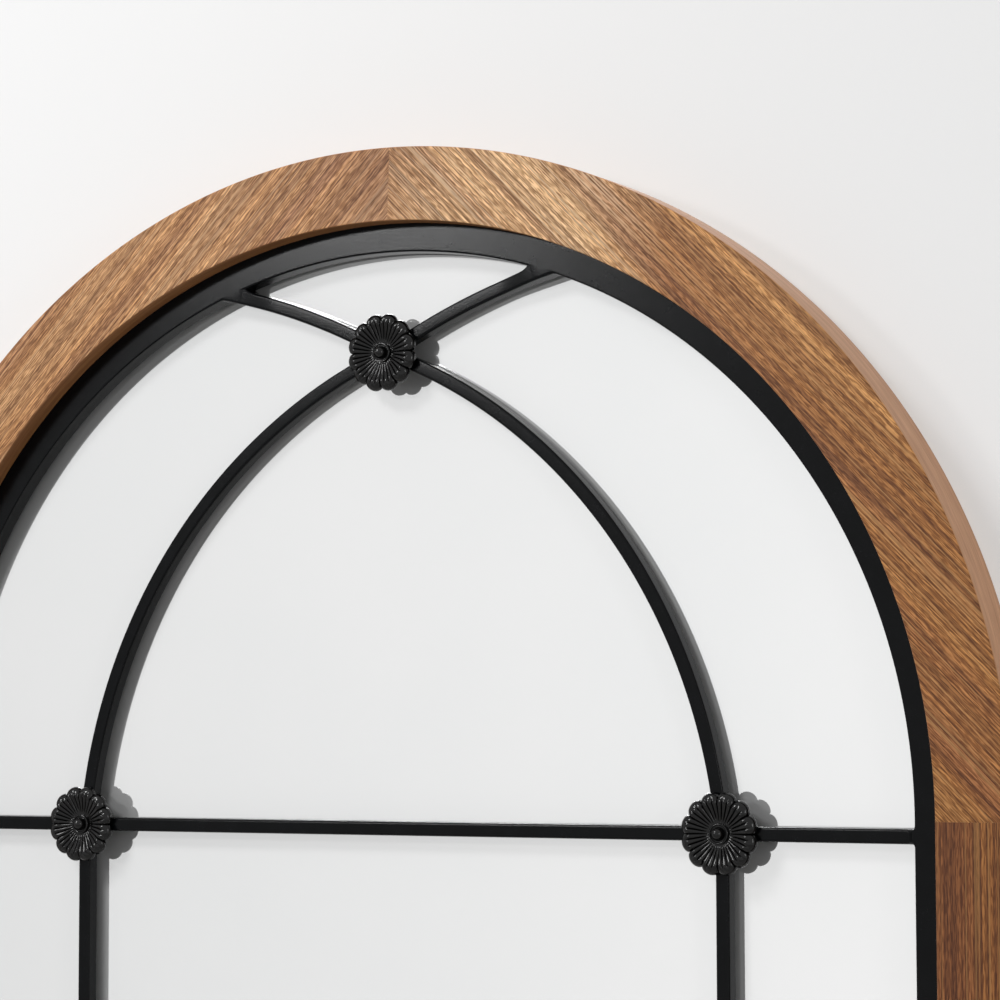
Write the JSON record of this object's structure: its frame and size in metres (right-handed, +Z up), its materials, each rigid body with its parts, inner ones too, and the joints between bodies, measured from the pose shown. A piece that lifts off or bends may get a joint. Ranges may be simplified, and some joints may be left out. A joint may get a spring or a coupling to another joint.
{
  "type": "arched window mirror",
  "caption": "Arched wall mirror dressed as a window: walnut frame, black metal grille with cast rosettes, mirror pane and swinging hanger rings.",
  "frame": {"origin": "middle of the bottom rail's back face, on the wall side", "axes": "+X to the right of someone who looks into the mirror, +Y towards the wall, +Z up"},
  "size_m": [0.6096, 0.0319, 0.9144],
  "materials": {
    "walnut": "open-grained brown veneer, satin",
    "beech": "bare dowel",
    "black_metal": "satin black with a fine texture",
    "cast_black": "gloss black enamel",
    "mirror": "polished",
    "hardboard": "smooth hardboard",
    "zinc": "bright zinc plate",
    "rubber": "matt"
  },
  "bodies": {
    "root": {"frame_arch_left": "walnut", "frame_arch_right": "walnut", "frame_leg_left": "walnut", "frame_leg_right": "walnut", "frame_bottom_rail": "walnut", "dowel_apex": "beech", "dowel_spring_left": "beech", "dowel_spring_right": "beech", "dowel_corner_left": "beech", "dowel_corner_right": "beech", "band_arch": "black_metal", "band_sill": "black_metal", "cross_bar_upper": "black_metal", "cross_bar_lower": "black_metal", "vertical_bar_left": "black_metal", "vertical_bar_right": "black_metal", "arc_bar_left": "black_metal", "arc_bar_right": "black_metal", "rosette_top": "cast_black", "rosette_upper_left": "cast_black", "rosette_upper_right": "cast_black", "rosette_lower_left": "cast_black", "rosette_lower_right": "cast_black", "rosette_stud_top": "cast_black", "rosette_stud_upper_left": "cast_black", "rosette_stud_upper_right": "cast_black", "rosette_stud_lower_left": "cast_black", "rosette_stud_lower_right": "cast_black", "mirror_glass": "mirror", "backing_board": "hardboard", "board_screw_01": "zinc", "board_screw_02": "zinc", "board_screw_03": "zinc", "board_screw_04": "zinc", "board_screw_05": "zinc", "board_screw_06": "zinc", "board_screw_07": "zinc", "board_screw_08": "zinc", "board_screw_09": "zinc", "board_screw_10": "zinc", "board_screw_11": "zinc", "board_screw_12": "zinc", "strap_screw_left_1": "zinc", "strap_screw_left_2": "zinc", "strap_screw_right_1": "zinc", "strap_screw_right_2": "zinc", "hanger_strap_left": "zinc", "hanger_strap_right": "zinc", "bumper_left": "rubber", "bumper_right": "rubber"},
    "ring_left": {"hanger_ring_left": "zinc"},
    "ring_right": {"hanger_ring_right": "zinc"}
  },
  "joints": [
    {"name": "ring_left_swing", "type": "hinge", "parent": "root", "child": "ring_left", "pos_m": [-0.2958, 0.00295, 0.5406], "axis": [1, 0, 0], "range_deg": [0, 175]},
    {"name": "ring_right_swing", "type": "hinge", "parent": "root", "child": "ring_right", "pos_m": [0.2958, 0.00295, 0.5406], "axis": [1, 0, 0], "range_deg": [0, 175]}
  ]
}
